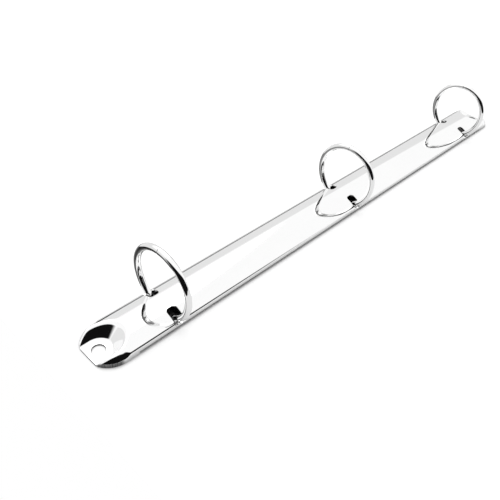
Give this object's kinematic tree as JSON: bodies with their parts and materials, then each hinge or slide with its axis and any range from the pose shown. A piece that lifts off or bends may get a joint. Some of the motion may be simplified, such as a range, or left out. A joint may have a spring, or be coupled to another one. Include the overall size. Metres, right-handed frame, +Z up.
{
  "type": "ring binder mechanism",
  "caption": "Bright metal ring binder mechanism: an arched sprung cover plate with round rings that open and shut on two hinged blades beneath it.",
  "frame": {"origin": "under the middle of the cover, on the surface that the mechanism lies on", "axes": "X along the cover, Y across it to the left side, Z up through the rings"},
  "size_m": [0.2794, 0.0306, 0.03],
  "materials": {
    "cover_nickel": "bright nickel-plated pressed steel sheet",
    "ring_nickel": "bright nickel-plated steel wire",
    "blade_steel": "plain plated steel strip"
  },
  "bodies": {
    "housing": {"cover_plate": "cover_nickel"},
    "right_side": {"right_blade": "blade_steel", "right_ring_half_1": "ring_nickel", "right_ring_half_2": "ring_nickel", "right_ring_half_3": "ring_nickel"},
    "left_side": {"left_blade": "blade_steel", "left_ring_half_1": "ring_nickel", "left_ring_half_2": "ring_nickel", "left_ring_half_3": "ring_nickel"}
  },
  "joints": [
    {"name": "right_blade_hinge", "type": "hinge", "parent": "housing", "child": "right_side", "pos_m": [0, -0.0087, 0.0013], "axis": [1, 0, 0], "range_deg": [0, 18]},
    {"name": "left_blade_hinge", "type": "hinge", "parent": "housing", "child": "left_side", "pos_m": [0, 0.0087, 0.0013], "axis": [-1, 0, 0], "range_deg": [0, 18]}
  ],
  "couplings": [
    {"joint": "left_blade_hinge", "follows": "right_blade_hinge", "ratio": 1}
  ]
}
